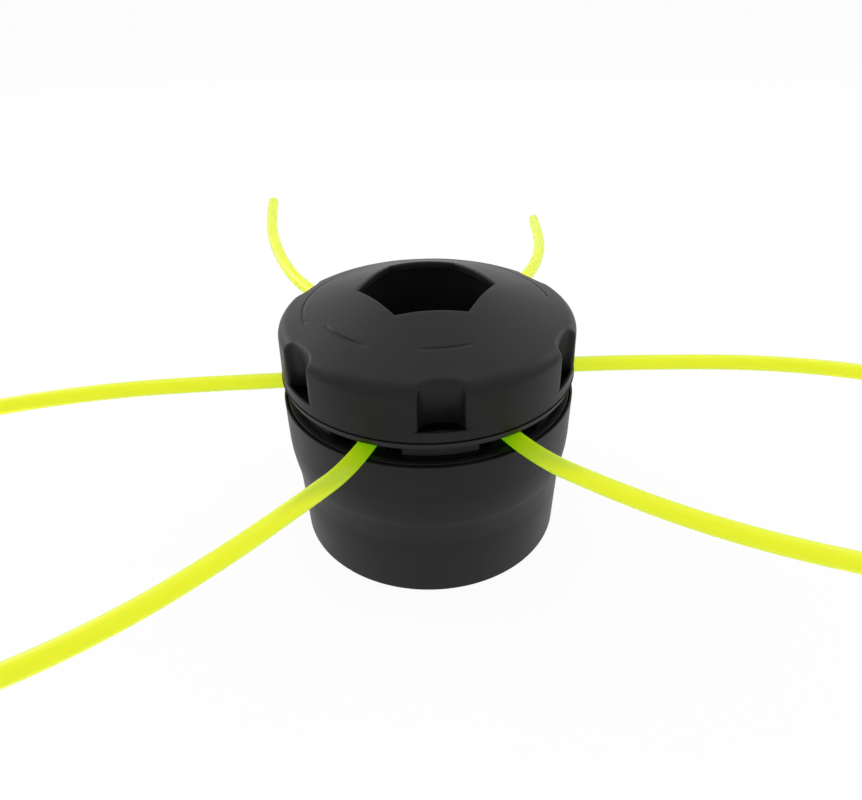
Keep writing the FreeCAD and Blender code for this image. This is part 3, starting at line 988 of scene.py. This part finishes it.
@dataclass
class Studio:
    """Pale floor, soft light and the camera."""

    floor_size: float = 6.0
    floor_grey: float = 0.9
    floor_white: float = 0.93  # share of plain white that the camera sees
    world_level: float = 0.74  # as light; the camera and reflections see 1
    target: Point = (0.0, 0.0, 40 * MM)
    softboxes: tuple[Softbox, ...] = (Softbox("softbox_top", (0.05, 0.25, 0.75), 0.9, 1.3),
                                      Softbox("softbox_left", (-0.60, 0.35, 0.40), 0.5, 2.2),
                                      Softbox("softbox_right", (0.65, 0.30, 0.40), 0.5, 1.4))
    camera_place: Point = (0.0, -156.54 * MM, 135.28 * MM)
    camera_turn: Point = (57.2335, 0.8129, -0.7535)
    clip_start: float = 10 * MM
    sensor: float = 36.0
    focal_px: float = 700.0
    frame_px: float = 862.0

    def build(self) -> None:
        """Set up the floor, world, lamps and camera."""
        bpy.context.scene.view_settings.view_transform = "Standard"
        self._floor()
        self._world()
        for softbox in self.softboxes:
            softbox.hang(self.target)
        self._camera()

    def _floor(self) -> None:
        """A pale floor that shows white to the camera and keeps a soft shadow."""
        bpy.ops.mesh.primitive_plane_add(size=self.floor_size, location=(0, 0, 0))
        floor = bpy.context.active_object
        floor.name = "floor"
        recipe = Recipe(bpy.data.materials.new("floor"))
        grey = (self.floor_grey, self.floor_grey, self.floor_grey, 1.0)
        matt = recipe.node("ShaderNodeBsdfDiffuse", None, {"Color": grey})
        white = recipe.node("ShaderNodeEmission", None, {"Color": (1.0, 1.0, 1.0, 1.0), "Strength": 1.0})
        share = self._sees(recipe) * self.floor_white
        paint(floor, recipe.show(recipe.node("ShaderNodeMixShader", None, {0: share, 1: matt, 2: white})))

    @staticmethod
    def _sees(recipe: Recipe) -> Wire:
        """Tell the rays that see a white background from the rest.

        Args:
            recipe: the material or world that asks.

        Returns:
            1 for camera, glossy and transmission rays, and 0 for others.
        """
        rays = [recipe.node("ShaderNodeLightPath", output=f"Is {kind} Ray")
                for kind in ("Camera", "Glossy", "Transmission")]
        return (rays[0] + rays[1] + rays[2]).least(1.0)

    def _world(self) -> None:
        """White to the camera and in reflections, a little dimmer as light."""
        world = bpy.data.worlds.new("studio")
        bpy.context.scene.world = world
        recipe = Recipe(world)
        level = self._sees(recipe) * (1.0 - self.world_level) + self.world_level
        white = {"Color": (1.0, 1.0, 1.0, 1.0), "Strength": level}
        recipe.show(recipe.node("ShaderNodeBackground", None, white))

    def _camera(self) -> None:
        """The camera, where the photograph was taken from."""
        data = bpy.data.cameras.new("camera")
        data.sensor_fit = "HORIZONTAL"
        data.sensor_width = self.sensor
        data.lens = self.focal_px / self.frame_px * self.sensor
        data.clip_start = self.clip_start
        camera = bpy.data.objects.new("camera", data)
        camera.location = self.camera_place
        camera.rotation_euler = [math.radians(angle) for angle in self.camera_turn]
        bpy.context.scene.collection.objects.link(camera)
        bpy.context.scene.camera = camera


def paint(piece: bpy.types.Object, material: bpy.types.Material) -> None:
    """Give a piece one material in place of any it has."""
    piece.data.materials.clear()
    piece.data.materials.append(material)


def bevel_edges(piece: bpy.types.Object, width: float, chosen: Callable[[Vector], bool]) -> None:
    """Bevel the edges whose two ends are both chosen.

    Args:
        piece: the active mesh object.
        width: the bevel's width.
        chosen: says whether a corner's place counts.
    """
    bpy.ops.object.mode_set(mode="EDIT")
    bpy.ops.mesh.select_mode(type="EDGE")
    bpy.ops.mesh.select_all(action="DESELECT")
    bpy.ops.object.mode_set(mode="OBJECT")
    corners = piece.data.vertices
    for edge in piece.data.edges:
        edge.select = all(chosen(corners[index].co) for index in edge.vertices)
    bpy.ops.object.mode_set(mode="EDIT")
    bpy.ops.mesh.bevel(offset=width, offset_type="OFFSET", segments=BEVEL_SEGMENTS, affect="EDGES")
    bpy.ops.object.mode_set(mode="OBJECT")


def combine(piece: bpy.types.Object, tool: bpy.types.Object, cut: Cut) -> None:
    """Join a tool to a piece or take it away, and delete the tool.

    Args:
        piece: the mesh that is kept.
        tool: the mesh that is used up.
        cut: what is done with the tool.
    """
    boolean = piece.modifiers.new("cut", "BOOLEAN")
    boolean.operation = cut.value
    boolean.solver = "EXACT"
    boolean.object = tool
    bpy.ops.object.select_all(action="DESELECT")
    bpy.context.view_layer.objects.active = piece
    bpy.ops.object.modifier_apply(modifier=boolean.name)
    bpy.data.objects.remove(tool)


def merged_copy(node: bpy.types.Object, name: str) -> bpy.types.Object:
    """A copy of one of the model's pieces, with its loose triangles merged and its creases kept.

    Args:
        node: the model's piece.
        name: the copy's name.

    Returns:
        The copy.
    """
    piece = bpy.data.objects.new(name, node.data.copy())
    bpy.context.scene.collection.objects.link(piece)
    bpy.ops.object.select_all(action="DESELECT")
    piece.select_set(True)
    bpy.context.view_layer.objects.active = piece
    bpy.ops.object.mode_set(mode="EDIT")
    bpy.ops.mesh.select_all(action="SELECT")
    bpy.ops.mesh.remove_doubles(threshold=MERGE, use_sharp_edge_from_normals=True)
    bpy.ops.object.mode_set(mode="OBJECT")
    piece.select_set(False)
    return piece


def between(value: float, low: float, high: float) -> float:
    """How far a value has come from low to high, from 0 to 1."""
    return min(1.0, max(0.0, (value - low) / (high - low)))


def follow(value: float, pairs: Sequence[tuple[float, float]]) -> float:
    """Map a value through straight stretches.

    Args:
        value: the value.
        pairs: old and new values where the stretches meet, upwards.

    Returns:
        The new value.
    """
    for (low, new_low), (high, new_high) in zip(pairs, pairs[1:]):
        if value <= high:
            return new_low + (new_high - new_low) * between(value, low, high)
    return pairs[-1][1]


def at_radius(place: Vector, radius: float, height: float) -> Vector:
    """The point at a place's azimuth, at another radius and height."""
    share = radius / math.hypot(place.x, place.y)
    return Vector((place.x * share, place.y * share, height))


def main() -> None:
    """Dress the model, add the lines, the nut and the studio."""
    logging.basicConfig(level=logging.INFO, format="%(name)s %(message)s")
    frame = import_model()
    bpy.ops.object.select_all(action="DESELECT")
    nodes = frame["nodes"]
    Studio().build()
    TrimmerLines().build(nodes)
    Cup().build(nodes)
    Carrier().build(nodes)
    Cap().build(nodes)
    Hardware().dress(nodes)


if __name__ == "__main__":
    main()
